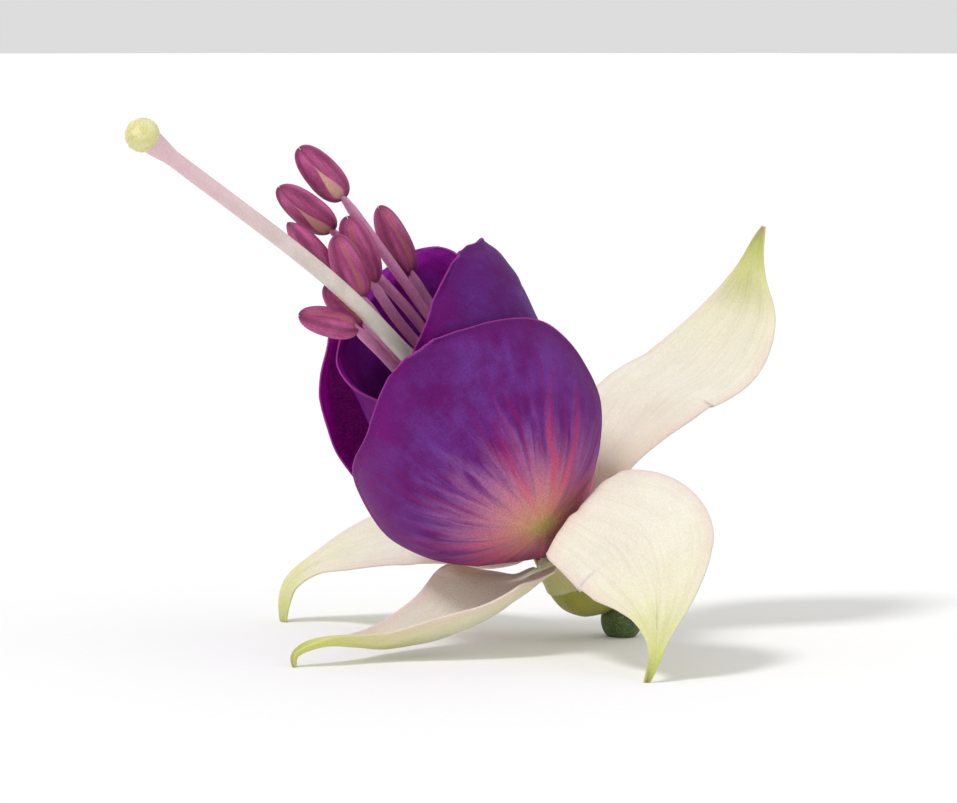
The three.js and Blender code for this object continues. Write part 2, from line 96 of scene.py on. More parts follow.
# Sepals: centre-line from the mouth to the tip, the way the inner face looks and the width
# at even steps along it, and how steeply the edges turn up.
SEPALS = {
    "sepal_front_right": {
        "line": [[3.5, 0.7, 0], [5.4, 1.2, 1.7], [7.6, 1.8, 3.8], [9, 2.6, 5.3], [11.1, 3.8, 6.2],
                 [15.1, 6.3, 3.4], [19.5, 6.2, 1.6], [23.2, 5.1, 0], [25.7, 2.9, -2.3],
                 [26.3, 0.7, -4]],
        "faces": [[-0.66, -0.1, 0.75], [-0.3, -0.2, 0.9], [0.46, 0.06, 0.87],
                  [0.44, 0.09, 0.89], [0.95, 0.04, 0.31]],
        "widths": [3, 5.8, 8.8, 11.9, 13.3, 11.9, 7.4, 2, 0.3],
        "cup": -0.08,
    },
    "sepal_back_right": {
        "line": [[-2.4, 2.7, 0.1], [-4.6, 6.8, 2.8], [-7.9, 11.9, 3.7], [-9.5, 14.6, 3.6],
                 [-10.9, 18.6, 3], [-13.8, 24.3, 4.1], [-14.8, 27.4, 6.6], [-15.6, 30.7, 9.3]],
        "faces": [[0.23, -0.44, 0.87], [0.16, -0.05, 0.99], [0.05, 0.21, 0.98],
                  [0.33, -0.23, 0.92], [0.74, -0.31, 0.59]],
        "widths": [3.6, 7.6, 12.3, 16.2, 17, 15, 10.4, 3.5, 0.3],
        "cup": 0.02,
    },
    "sepal_front_left": {
        "line": [[2.4, -2.7, 0.1], [4.1, -4.7, 1.1], [6.1, -7.8, 1.8], [8.6, -12.2, 3.1],
                 [10.7, -17, 5.9], [12.2, -19.2, 8.3], [13.3, -21.2, 10.3], [13.8, -23.6, 11.1],
                 [14.3, -24.5, 10.4]],
        "faces": [[-0.1, 0.1, 0.98], [0.08, 0.2, 0.97], [-0.2, 0.42, 0.88], [-0.38, 0.58, 0.72],
                  [0.22, -0.5, 0.84]],
        "widths": [3.4, 8, 10.9, 9.6, 7.9, 5.4, 2.9, 1.8, 0.3],
        "cup": 0.55,
    },
    "sepal_back_left": {
        "line": [[-2.7, -2.4, 0.1], [-5.1, -5.6, 1.3], [-8.1, -8.9, 3.8], [-10.3, -12.2, 4.9],
                 [-11.7, -17, 6.4], [-12.7, -20.6, 7], [-13.2, -24.3, 6.7], [-12.7, -26.3, 4.9],
                 [-11.9, -27.3, 3.4]],
        "faces": [[0.17, 0.22, 0.96], [0.41, 0.32, 0.85], [0.2, 0.26, 0.94], [0.09, -0.01, 1],
                  [0.48, -0.59, 0.65]],
        "widths": [3.2, 5.5, 7.4, 8.9, 9, 7.5, 3.9, 2.3, 0.3],
        "cup": 0.12,
    },
}
CUP_START = 0.25  # the share of a sepal's length over which its edges come to turn up
TIP_CUP = 0.7  # how much more steeply they turn up at the tip
TIP_CUP_START = 0.86
SEPAL_THICKNESS = [0.62, 0.2, 1.6]  # as for the petals
SEPAL_RIPPLE = 0.12
GROOVE_DEPTH = 0.16  # the groove along a sepal's middle
GROOVE_WIDTH = 0.1  # as a share of half the sepal's width
SEPAL_ROOT_DEPTH = 2.6  # how far a sepal runs down the tube's wall
SEPAL_ROOT_WIDTH = 4.6

STYLE_LINE = [[0, 0, -5.2], [0, 0, 3], [0.9, -0.4, 13], [2.9, -1.2, 21], [5, -3, 35],
              [7.8, -8.2, 54.7]]
STYLE_RADIUS = [0.72, 0.7]
STYLE_NECK = 0.35  # how much thicker the style gets below the stigma
STYLE_NECK_START = 0.955
STYLE_SINK = 0.6  # how far it reaches into the stigma
STIGMA_RADIUS = 1.45
STIGMA_LENGTH = 2.9
STIGMA_LOBES = 4
STIGMA_CLEFT = 0.16
PAPILLA_RADIUS = 0.07
PAPILLA_SPACING = 0.17
PAPILLA_DENSITY = 6e7  # for each square metre, before the spacing thins them out
PAPILLA_SIZES = (0.65, 1.1)

STAMEN_RING = 1.5
STAMEN_DEPTH = 0.5
STAMEN_SPLAY = [0.2, 5]  # how far a filament leans out of the ring, and at which height
FILAMENT_RADIUS = [0.4, 0.48]
FILAMENT_NECK = -0.2  # thinner below the anther
FILAMENT_NECK_START = 0.94
FILAMENT_SINK = 0.35  # how far it reaches into the anther
ANTHER_WIDTH = 3.1
ANTHER_DEPTH = 2.4
ANTHER_WAIST = 0.24  # the furrow between the two pollen sacs
ANTHER_BLUNTNESS = 2.6
ANTHER_TAPER = 0.1
ANTHER_SLIT = 0.07  # the slit along each pollen sac
ANTHER_SLIT_WIDTH = 0.2
ANTHER_SLITS = (35, 145, 215, 325)  # round each anther, in degrees
ANTHER_HEELS = 0.35  # how far the sacs reach past the ends of their seam
STAMENS = [
    {"angle": 158, "way": [[-2.4, 1.2, 14], [-2.8, 1.5, 26]],
     "anther": [[-2.6, 1.4, 38.5], [-2.6, 0.8, 44.1]], "turn": 180},
    {"angle": 202, "way": [[-2.4, -0.1, 14], [-2.8, 0.4, 25]],
     "anther": [[-1.2, -1, 37], [-0.5, -2.4, 42.8]], "turn": 160},
    {"angle": 292, "way": [[0.7, -2.3, 13], [0.8, -2.7, 26.8]],
     "anther": [[1.2, -3, 34.3], [1.2, -3.4, 40.1]], "turn": 118},
    {"angle": 22, "way": [[0.6, 0.9, 14], [1.6, -1.7, 25.7]],
     "anther": [[3, -1.9, 31.6], [3.3, -0.7, 37.4]], "turn": 25},
    {"angle": 68, "way": [[-0.6, 0.7, 14], [-0.6, -0.7, 25.2]],
     "anther": [[0.6, -0.6, 31.5], [0.6, 0.9, 37.4]], "turn": -10},
    {"angle": 112, "way": [[-2.4, 2.6, 14], [-4.4, 2.1, 24.6]],
     "anther": [[-4.4, 2.3, 28.6], [-4, 3.3, 35.1]], "turn": 40},
    {"angle": 338, "way": [[1.8, -2.3, 13], [2.6, -3.2, 24.6]],
     "anther": [[5, -3.7, 30.2], [5, -6.9, 33.8]], "turn": 60},
    {"angle": 248, "way": [[-0.7, -2.4, 14], [-0.8, -3, 24.5]],
     "anther": [[-0.8, -3.4, 28.3], [-0.8, -4, 32.9]], "turn": 0},
]

# How finely the organs are divided: rows along, columns across.
PETAL_GRID = (110, 130)
SEPAL_GRID = (120, 44)
SEPAL_ROOT_ROWS = 14
PETAL_CROWDING = 1.15  # how the rows crowd towards a petal's top
ANTHER_GRID = (36, 48)
TUBE_SIDES = 96

# ---- Curves ----------------------------------------------------------------------------


def smooth(values, t):
    """Values on a smooth curve through `values` at even steps, for each t from 0 to 1."""
    values = np.asarray(values, float)
    last = len(values) - 1
    x = np.clip(np.asarray(t, float), 0, 1) * last
    step = np.minimum(x.astype(int), last - 1)
    w = x - step
    if values.ndim == 2:
        w = w[..., None]
    ends = [2 * values[0] - values[1]], [2 * values[-1] - values[-2]]
    padded = np.concatenate([ends[0], values, ends[1]])
    before, a, b, after = (padded[step + k] for k in range(4))
    slope_a = (b - before) / 2
    slope_b = (after - a) / 2
    return (a * (2 * w**3 - 3 * w**2 + 1) + slope_a * (w**3 - 2 * w**2 + w)
            + b * (3 * w**2 - 2 * w**3) + slope_b * (w**3 - w**2))


def smooth_table(pairs, x):
    """Values at each x, on a smooth curve through rows of [x, value, ...]."""
    pairs = np.asarray(pairs, float)
    last = len(pairs) - 1
    place = np.interp(x, pairs[:, 0], np.arange(last + 1)) / last
    return smooth(pairs[:, 1:], place)


def ease(x, start, end):
    """Eases from 0 to 1 while x goes from `start` to `end`."""
    x = np.clip((np.asarray(x, float) - start) / (end - start), 0, 1)
    return x * x * (3 - 2 * x)


def even_curve(line, t):
    """Points and directions on a smooth curve through `line`, at even lengths along it."""
    fine = np.linspace(0, 1, 600)
    points = smooth(line, fine)
    lengths = np.concatenate([[0], np.cumsum(np.linalg.norm(np.diff(points, axis=0), axis=1))])
    places = np.interp(t, lengths / lengths[-1], fine)
    step = 1e-3
    along = smooth(line, np.minimum(places + step, 1)) - smooth(line, np.maximum(places - step, 0))
    return smooth(line, places), unit(along)


def unit(vectors):
    """The same vectors with a length of one."""
    return vectors / np.linalg.norm(vectors, axis=-1, keepdims=True)


def dot(a, b):
    """The dot product of each pair of vectors, kept as a column."""
    return np.sum(a * b, axis=-1, keepdims=True)


# ---- From the bloom's frame to the scene -----------------------------------------------


def bloom_axes():
    """The directions of front, right and up in the scene, as the rows of a matrix."""
    up = np.array([
        math.sin(AXIS_TILT) * math.cos(AXIS_HEADING),
        math.sin(AXIS_TILT) * math.sin(AXIS_HEADING),
        math.cos(AXIS_TILT),
    ])
    front = np.array([0.0, -1.0, 0.0])
    front = unit(front - front.dot(up) * up)
    right = np.cross(up, front)
    c, s = math.cos(SETTLE), math.sin(SETTLE)
    settle = np.array([[1, 0, 0], [0, c, -s], [0, s, c]])
    return np.array([front, right, up]) @ settle.T


AXES = bloom_axes()


def place(points):
    """Points of the bloom's frame in the scene, in metres."""
    return (np.asarray(points, float) @ AXES + MOUTH) * MM


# ---- Meshes ----------------------------------------------------------------------------


def add_object(name, data):
    """A new object in the scene."""
    piece = bpy.data.objects.new(name, data)
    bpy.context.scene.collection.objects.link(piece)
    return piece


def new_mesh_object(name, points, faces, uv, **attributes):
    """A smooth mesh in the scene; `uv` and each attribute hold a value for each point."""
    points = np.asarray(points, float)
    faces = np.asarray(faces, int)
    if signed_volume(points, faces) < 0:
        faces = faces[:, ::-1]
    mesh = bpy.data.meshes.new(name)
    mesh.from_pydata(points.tolist(), [], faces.tolist())
    mesh.shade_smooth()
    layer = mesh.uv_layers.new(name="organ")
    layer.data.foreach_set("uv", np.asarray(uv, float)[faces.ravel()].ravel())
    for key, values in attributes.items():
        attribute = mesh.attributes.new(key, "FLOAT", "POINT")
        attribute.data.foreach_set("value", np.asarray(values, float).ravel())
    mesh.validate()
    return add_object(name, mesh)


def signed_volume(points, faces):
    """Six times the volume inside quads, negative where they face inwards."""
    a, b, c, d = (points[faces[:, k]] for k in range(4))
    return float(np.sum(a * np.cross(b, c)) + np.sum(a * np.cross(c, d)))


def grid_faces(rows, columns, first=0, wrapped=False):
    """Quads between neighbours of a grid of points, closed round its columns if `wrapped`."""
    last = columns if wrapped else columns - 1
    i, j = np.meshgrid(np.arange(rows - 1), np.arange(last), indexing="ij")
    next_j = (j + 1) % columns
    quads = np.stack([i * columns + j, (i + 1) * columns + j,
                      (i + 1) * columns + next_j, i * columns + next_j], axis=-1)
    return quads.reshape(-1, 4) + first


def grid_normals(grid):
    """Unit normals of a grid of points."""
    return unit(np.cross(np.gradient(grid, axis=0), np.gradient(grid, axis=1)))


def place_above_floor(points):
    """Points of the bloom's frame in the scene, with none of them below the floor."""
    world = place(points)
    world[:, 2] = np.maximum(world[:, 2], 0)
    return world


def thinned(rim, middle, edge, border):
    """How thick a blade is at each distance from its rim."""
    return edge + (middle - edge) * ease(rim, 0, border)


def blade(name, grid, thickness, uv, **values):
    """A closed blade round a middle surface; its inner face carries 1 in `inside`."""
    rows, columns = grid.shape[:2]
    normals = grid_normals(grid)
    half = thickness[..., None] / 2
    points = np.concatenate([(grid + normals * half).reshape(-1, 3),
                             (grid - normals * half).reshape(-1, 3)])
    under = rows * columns
    front = grid_faces(rows, columns)
    back = grid_faces(rows, columns, under)[:, ::-1]
    edge = np.concatenate([
        np.arange(columns - 1),
        np.arange(rows - 1) * columns + columns - 1,
        (rows - 1) * columns + np.arange(columns - 1, 0, -1),
        np.arange(rows - 1, 0, -1) * columns,
    ])
    after = np.roll(edge, -1)
    strip = np.stack([edge, after, after + under, edge + under], axis=-1)
    inside = np.concatenate([np.ones(under), np.zeros(under)])
    both = {key: np.tile(value.ravel(), 2) for key, value in values.items()}
    return new_mesh_object(name, place_above_floor(points), np.concatenate([front, back, strip]),
                           np.tile(uv.reshape(-1, 2), (2, 1)), inside=inside, **both)


def skin(name, rings, uv):
    """A skin over rings of points; its first and last ring stay open."""
    faces = grid_faces(*rings.shape[:2], wrapped=True)
    return new_mesh_object(name, place_above_floor(rings.reshape(-1, 3)), faces, uv.reshape(-1, 2))


# ---- Organs ----------------------------------------------------------------------------


def ripple(across, along, seed):
    """A soft unevenness of about -1 to 1 over a blade, the same for the same seed."""
    chance = np.random.default_rng(seed)
    total = 0
    for count in (1.3, 2.2, 3.4, 5.1):
        turn_across, turn_along = chance.uniform(0, 2 * math.pi, 2)
        lean = chance.uniform(-1.5, 1.5)
        total = total + np.sin(2 * math.pi * (count * across + lean * along) + turn_across) \
            * np.sin(2 * math.pi * 0.7 * count * along + turn_along) / count
    return total


def petal(name, rows, seed):
    """A petal: a broad blade wrapped round the corolla from its narrow claw, its rim rolled out."""
    rows = np.asarray(rows, float)
    steps, columns = PETAL_GRID
    share = np.sin(np.linspace(0, 1, steps + 1) * math.pi / 2) ** PETAL_CROWDING
    height = rows[0, 0] + share * (rows[-1, 0] - rows[0, 0])
    left, right, left_out, right_out = smooth_table(rows, height).T[..., None]
    across = np.linspace(0, 1, columns + 1)[None]
    angle = np.radians(left + (right - left) * across)
    radius = smooth_table(COROLLA, height) + left_out + (right_out - left_out) * across
    if name in PETAL_SWELLS:
        radius = radius + swell(across, height[:, None], PETAL_SWELLS[name])
    plain = surface_of_revolution(radius, angle, height)
    rim = rim_distance(plain)
    along = np.broadcast_to(np.linspace(0, 1, steps + 1)[:, None], rim.shape)
    radius = radius + PETAL_RIM_ROLL * np.exp(-((rim / PETAL_RIM_WIDTH) ** 2)) * ease(along, 0.15, 0.4)
    radius = radius + PETAL_RIPPLE * ripple(across, along, seed) * ease(along, 0.1, 0.5)
    grid = surface_of_revolution(radius, angle, height)
    uv = np.stack([np.broadcast_to(across, rim.shape), along], axis=-1)
    fan, reach = laid_flat(height, angle, math.radians((rows[0, 1] + rows[0, 2]) / 2))
    return blade(name, grid, thinned(rim, *PETAL_THICKNESS), uv, rim=rim, fan=fan, reach=reach)


def swell(across, height, bulge):
    """A round bulge of a petal, as a height over its surface."""
    side = (across - bulge["across"]) / bulge["spread"][0]
    rise = (height - bulge["height"]) / bulge["spread"][1]
    return bulge["out"] * np.exp(-(side**2) - rise**2)


def laid_flat(height, angle, claw_angle):
    """The way to each point from where the veins meet, in degrees, and its distance."""
    radius = smooth_table(COROLLA, height)[:, 0]
    climb = np.concatenate([[0], np.cumsum(np.hypot(np.diff(radius), np.diff(height)))])[:, None]
    aside = radius[:, None] * (angle - claw_angle)
    return np.degrees(np.arctan2(aside, climb - FAN_START)), np.hypot(aside, climb - FAN_START)


def surface_of_revolution(radius, angle, height):
    """A grid of points at each radius and angle round the axis, row by row in height."""
    height = np.broadcast_to(height[:, None], radius.shape)
    return np.stack([radius * np.cos(angle), radius * np.sin(angle), height], axis=-1)


def rim_distance(grid):
    """The distance of each point of a blade from its free rim: both sides and the top."""
    across = np.linalg.norm(np.diff(grid, axis=1), axis=-1)
    along = np.linalg.norm(np.diff(grid, axis=0), axis=-1)
    from_left = np.pad(np.cumsum(across, axis=1), ((0, 0), (1, 0)))
    from_foot = np.pad(np.cumsum(along, axis=0), ((1, 0), (0, 0)))
    from_right = from_left[:, -1:] - from_left
    from_top = from_foot[-1:] - from_foot
    return np.minimum(np.minimum(from_left, from_right), from_top)


def sepal(name, shape, seed):
    """A sepal: a strip up the tube's wall that turns outwards into a long channelled blade."""
    steps, columns = SEPAL_GRID
    t = np.linspace(0, 1, steps + 1)
    centre, along = even_curve(shape["line"], t)
    face = smooth(shape["faces"], t)
    half = smooth(shape["widths"], t) / 2
    cup = shape["cup"] * ease(t, 0, CUP_START) + TIP_CUP * ease(t, TIP_CUP_START, 1)
    centre, along, face, half, cup = with_root(centre, along, face, half, cup, SEPAL_ROOT_ROWS)
    face = unit(face - dot(face, along) * along)
    across = np.cross(face, along)
    s = np.linspace(-1, 1, columns + 1)[None]
    half, cup = half[:, None], cup[:, None]
    broad = ease(half, 0.5, 3)
    groove = np.exp(-((s / GROOVE_WIDTH) ** 2))
    length = np.concatenate([np.linspace(-0.1, 0, SEPAL_ROOT_ROWS, endpoint=False), t])[:, None]
    lift = cup * half * s**2
    lift = lift + SEPAL_RIPPLE * ripple(s / 2 + 0.5, length, seed) * ease(length, 0.02, 0.2) * broad
    lift = lift - GROOVE_DEPTH * groove * ease(length, 0.02, 0.15) * broad
    grid = centre[:, None] + across[:, None] * (s * half)[..., None] + face[:, None] * lift[..., None]
    rim = (1 - np.abs(s)) * half
    uv = np.stack(np.broadcast_arrays(s / 2 + 0.5, length), axis=-1)
    return blade(name, grid, thinned(rim, *SEPAL_THICKNESS), uv, rim=rim)


def with_root(centre, along, face, half, cup, steps):
    """Puts rows before a sepal's first one that run up the outside of the tube."""
    start = centre[0]
    out = unit(np.array([start[0], start[1], 0.0]))
    u = np.linspace(0, 1, steps, endpoint=False)
    wall = smooth_table(TUBE_OUTSIDE, SEPAL_ROOT_DEPTH * (1 - u))[:, 0]
    radius = wall + (np.hypot(start[0], start[1]) - TUBE_OUTSIDE[0][1]) * ease(u, 0.3, 1) + 0.02
    root = out * radius[:, None]
    root[:, 2] = start[2] - SEPAL_ROOT_DEPTH * (1 - u)
    root_along = unit(np.gradient(np.concatenate([root, centre[:1]]), axis=0)[:-1])
    root_face = np.broadcast_to(-out, root.shape)
    root_half = (SEPAL_ROOT_WIDTH + (2 * half[0] - SEPAL_ROOT_WIDTH) * ease(u, 0, 1)) / 2
    root_cup = root_half / (2 * radius)
    fade = ease(np.arange(len(cup)) / len(cup), 0, 0.06)
    cup = root_cup[-1] * (1 - fade) + cup * fade
    return (np.concatenate([root, centre]), np.concatenate([root_along, along]),
            np.concatenate([root_face, face]), np.concatenate([root_half, half]),
            np.concatenate([root_cup, cup]))


def floral_tube():
    """The floral tube: a swollen cup with faint ribs and a rounded lip."""
    fine = np.linspace(0, 1, 40)
    outside = smooth(TUBE_OUTSIDE, fine)[::-1]
    inside = smooth(TUBE_INSIDE, fine)
    lip_radius = (outside[-1, 1] + inside[0, 1]) / 2
    lip_turn = np.linspace(0, math.pi, 8)[1:-1]
    lip = np.stack([-TUBE_LIP * np.sin(lip_turn),
                    lip_radius + (outside[-1, 1] - lip_radius) * np.cos(lip_turn)], axis=-1)
    profile = np.concatenate([[[outside[0, 0], 0.02]], outside, lip, inside])
    depth, radius = profile.T
    angle = np.linspace(0, 2 * math.pi, TUBE_SIDES, endpoint=False)
    ribbed = radius[:, None] * np.ones_like(angle)[None]
    outer = (np.arange(len(radius)) <= len(outside))[:, None] * ease(radius, 1, 3)[:, None]
    ribbed = ribbed + TUBE_RIB_HEIGHT * outer * np.cos(TUBE_RIBS * angle)[None]
    rings = surface_of_revolution(ribbed, np.broadcast_to(angle, ribbed.shape), -depth)
    uv = np.stack(np.broadcast_arrays(angle[None] / (2 * math.pi), depth[:, None] / 7), axis=-1)
    return skin("tube_cup", rings, uv)


def round_body(name, foot, head, side, section, levels, sides, bend=None):
    """A rounded body along a straight axis; `section(level, angle)` gives x and y across it.

    `bend(level, angle)` shifts its points along the axis.
    """
    foot, head = np.asarray(foot, float), np.asarray(head, float)
    axis = head - foot
    across = unit(side - dot(side, axis) / dot(axis, axis) * axis)
    over = np.cross(unit(axis), across)
    turn = np.linspace(0.02, math.pi - 0.02, levels)
    level = ((1 - np.cos(turn)) / 2)[:, None]
    angle = np.linspace(0, 2 * math.pi, sides, endpoint=False)[None]
    x, y = section(level, angle)
    shift = np.zeros_like(x) if bend is None else bend(level, angle)
    rings = (foot + axis * level[..., None] + across * x[..., None] + over * y[..., None]
             + unit(axis) * shift[..., None])
    uv = np.stack(np.broadcast_arrays(angle / (2 * math.pi), level), axis=-1)
    return skin(name, rings, uv)


def ovary():
    """The ovary: an egg with faint ridges, pressed flat where it rests."""
    def section(level, angle):
        egg = np.sqrt(1 - (2 * level - 1) ** 2) * (1 - OVARY_TAPER * (2 * level - 1))
        radius = OVARY_RADIUS * egg + OVARY_RIDGE_HEIGHT * egg * np.cos(OVARY_RIDGES * angle)
        return radius * np.cos(angle), radius * np.sin(angle)

    foot = [0, 0, -OVARY_TOP - OVARY_LENGTH]
    return round_body("ovary_egg", foot, [0, 0, -OVARY_TOP], np.array([1.0, 0, 0]), section, 48, 64)


def anther(name, foot, head, turn):
    """An anther: two pollen sacs side by side, each with a slit, turned about its long axis."""
    def section(level, angle):
        outline = (1 - np.abs(2 * level - 1) ** ANTHER_BLUNTNESS) ** 0.5
        outline = outline * (1 - ANTHER_TAPER * (2 * level - 1))
        waist = 1 - ANTHER_WAIST * np.abs(np.sin(angle)) ** 5
        slits = sum(np.exp(-((angle_from(angle, at) / ANTHER_SLIT_WIDTH) ** 2))
                    for at in ANTHER_SLITS)
        shape = outline * (waist - ANTHER_SLIT * slits)
        return ANTHER_WIDTH / 2 * shape * np.cos(angle), ANTHER_DEPTH / 2 * shape * np.sin(angle)

    def heels(level, angle):
        return ANTHER_HEELS * np.cos(angle) ** 2 * (ease(level, 0.6, 1) - ease(1 - level, 0.6, 1))

    axis = unit(np.asarray(head, float) - foot)
    side = unit(np.cross(axis, [1.0, 0, 0]))
    turn = math.radians(turn)
    side = side * math.cos(turn) + np.cross(axis, side) * math.sin(turn)
    return round_body(name, foot, head, side, section, *ANTHER_GRID, bend=heels)


def angle_from(angle, degrees):
    """How far each angle is from a direction, as the shorter way round."""
    away = angle - math.radians(degrees)
    return (away + math.pi) % (2 * math.pi) - math.pi


def stigma():
    """The stigma: a knob of four lobes at the end of the style."""
    ends, along = even_curve(STYLE_LINE, np.array([1.0]))
    foot = ends[0]
    head = foot + along[0] * STIGMA_LENGTH

    def section(level, angle):
        radius = STIGMA_RADIUS * np.sqrt(1 - (2 * level - 1) ** 2)
        cleft = STIGMA_CLEFT * level * (0.5 - 0.5 * np.cos(STIGMA_LOBES * angle)) ** 3
        return radius * (1 - cleft) * np.cos(angle), radius * (1 - cleft) * np.sin(angle)

    return round_body("stigma_knob", foot, head, np.array([1.0, 0, 0]), section, 48, 64)


def style_path():
    """The style's line, from deep in the tube to a little way inside the stigma."""
    points, along = even_curve(STYLE_LINE, np.linspace(0, 1, 140))
    beyond = points[-1] + along[-1] * np.array([[STYLE_SINK / 2], [STYLE_SINK]])
    return np.concatenate([points, beyond])


def filament_path(angle, way, anther, **_):
    """The filament's line from the ring inside the mouth into the foot of its anther."""
    turn = math.radians(angle)

    def ring(radius, height):
        return [radius * math.cos(turn), radius * math.sin(turn), height]

    splay, splay_height = STAMEN_SPLAY
    head = np.asarray(anther[0], float)
    end = head + FILAMENT_SINK * unit(head - np.asarray(way[-1], float))
    line = [ring(STAMEN_RING, -STAMEN_DEPTH), ring(STAMEN_RING + splay, splay_height), *way, end]
    return even_curve(line, np.linspace(0, 1, 60))[0]


# ---- What repeats or follows a path ----------------------------------------------------


def new_geometry_tree(name, inputs):
    """A geometry node tree with named inputs; returns it with its input and output nodes."""
    tree = bpy.data.node_groups.new(name, "GeometryNodeTree")
    tree.interface.new_socket("Geometry", in_out="INPUT", socket_type="NodeSocketGeometry")
    for title, kind in inputs:
        tree.interface.new_socket(title, in_out="INPUT", socket_type="NodeSocket" + kind)
    tree.interface.new_socket("Geometry", in_out="OUTPUT", socket_type="NodeSocketGeometry")
    return tree, tree.nodes.new("NodeGroupInput"), tree.nodes.new("NodeGroupOutput")


def connect(tree, links):
    """Links a tree's nodes by rows of node, output, node, input."""
    for source, output, target, entry in links:
        tree.links.new(source.outputs[output], target.inputs[entry])


def rod_tree():
    """Geometry nodes: a round rod along a line, thicker or thinner along it and in its neck."""
    tree, given, result = new_geometry_tree("Rod along a path", [
        ("Foot Radius", "Float"), ("Head Radius", "Float"), ("Neck", "Float"),
        ("Neck Start", "Float"), ("Sides", "Int"), ("Finish", "Material")])
    new = tree.nodes.new
    curve = new("GeometryNodeMeshToCurve")
    along = new("GeometryNodeSplineParameter")
    taper = new("ShaderNodeMapRange")
    neck = new("ShaderNodeMapRange")
    neck.interpolation_type = "SMOOTHSTEP"
    radius = new("ShaderNodeMath")
    keep = new("GeometryNodeStoreNamedAttribute")
    keep.data_type, keep.domain = "FLOAT", "POINT"
    keep.inputs["Name"].default_value = "along"
    ring = new("GeometryNodeCurvePrimitiveCircle")
    ring.inputs["Radius"].default_value = 1
    rod = new("GeometryNodeCurveToMesh")
    rod.inputs["Fill Caps"].default_value = True
    even = new("GeometryNodeSetShadeSmooth")
    real = new("GeometryNodeRealizeInstances")
    finish = new("GeometryNodeSetMaterial")
    connect(tree, [
        (given, "Geometry", curve, "Mesh"),
        (along, "Factor", taper, "Value"),
        (given, "Foot Radius", taper, "To Min"),
        (given, "Head Radius", taper, "To Max"),
        (along, "Factor", neck, "Value"),
        (given, "Neck Start", neck, "From Min"),
        (given, "Neck", neck, "To Max"),
        (taper, "Result", radius, 0),
        (neck, "Result", radius, 1),
        (curve, "Curve", keep, "Geometry"),
        (along, "Factor", keep, "Value"),
        (keep, "Geometry", rod, "Curve"),
        (radius, "Value", rod, "Scale"),
        (given, "Sides", ring, "Resolution"),
        (ring, "Curve", rod, "Profile Curve"),
        (rod, "Mesh", even, "Geometry"),
        (even, "Geometry", real, "Geometry"),
        (real, "Geometry", finish, "Geometry"),
        (given, "Finish", finish, "Material"),
        (finish, "Geometry", result, "Geometry"),
    ])
    return tree


def papilla_tree():
    """Geometry nodes: tiny round papillae all over a knob."""
    tree, given, result = new_geometry_tree("Papillae on a knob", [
        ("Radius", "Float"), ("Spacing", "Float"), ("Seed", "Int"), ("Finish", "Material")])
    new = tree.nodes.new
    spots = new("GeometryNodeDistributePointsOnFaces")
    spots.distribute_method = "POISSON"
    spots.inputs["Density Max"].default_value = PAPILLA_DENSITY
    bead = new("GeometryNodeMeshUVSphere")
    bead.inputs["Segments"].default_value = 8
    bead.inputs["Rings"].default_value = 5
    size = new("FunctionNodeRandomValue")
    size.data_type = "FLOAT"
    least, most = (s for s in size.inputs if s.enabled and s.name in ("Min", "Max"))
    least.default_value, most.default_value = PAPILLA_SIZES
    beads = new("GeometryNodeInstanceOnPoints")
    join = new("GeometryNodeJoinGeometry")
    real = new("GeometryNodeRealizeInstances")
    even = new("GeometryNodeSetShadeSmooth")
    finish = new("GeometryNodeSetMaterial")
    connect(tree, [
        (given, "Geometry", spots, "Mesh"),
        (given, "Spacing", spots, "Distance Min"),
        (given, "Seed", spots, "Seed"),
        (given, "Seed", size, "Seed"),
        (given, "Radius", bead, "Radius"),
        (spots, "Points", beads, "Points"),
        (bead, "Mesh", beads, "Instance"),
        (beads, "Instances", join, "Geometry"),
        (given, "Geometry", join, "Geometry"),
        (join, "Geometry", real, "Geometry"),
        (real, "Geometry", even, "Geometry"),
        (even, "Geometry", finish, "Geometry"),
        (given, "Finish", finish, "Material"),
        (finish, "Geometry", result, "Geometry"),
    ])
    tree.links.new(next(s for s in size.outputs if s.enabled), beads.inputs["Scale"])
    return tree


def grow(piece, tree, **values):
    """Runs a geometry tree on a piece with the named inputs and keeps the plain mesh."""
    modifier = piece.modifiers.new(tree.name, "NODES")
    modifier.node_group = tree
    for item in tree.interface.items_tree:
        key = item.name.lower().replace(" ", "_")
        if item.in_out == "INPUT" and key in values:
            modifier[item.identifier] = values[key]
    depsgraph = bpy.context.evaluated_depsgraph_get()
    mesh = bpy.data.meshes.new_from_object(
        piece.evaluated_get(depsgraph), preserve_all_data_layers=True, depsgraph=depsgraph)
    piece.modifiers.remove(modifier)
    piece.data = mesh
    return piece


def grow_rod(path, tree, radii, neck, neck_start, sides, finish):
    """Turns a line into a rod, with its radii at foot and head in millimetres."""
    return grow(path, tree, foot_radius=radii[0] * MM, head_radius=radii[1] * MM, neck=neck * MM,
                neck_start=neck_start, sides=sides, finish=finish)


def path_object(name, points):
    """A bare line of points in the scene, for a rod to follow."""
    world = place(points)
    mesh = bpy.data.meshes.new(name)
    mesh.from_pydata(world.tolist(), [(i, i + 1) for i in range(len(world) - 1)], [])
    return add_object(name, mesh)


# ---- Materials: helpers ----------------------------------------------------------------


def colour(red, green, blue):
    """A colour given as 0 to 255 on screen, for a shader socket."""
    def linear(value):
        value /= 255
        return value / 12.92 if value <= 0.04045 else ((value + 0.055) / 1.055) ** 2.4

    return (linear(red), linear(green), linear(blue), 1.0)


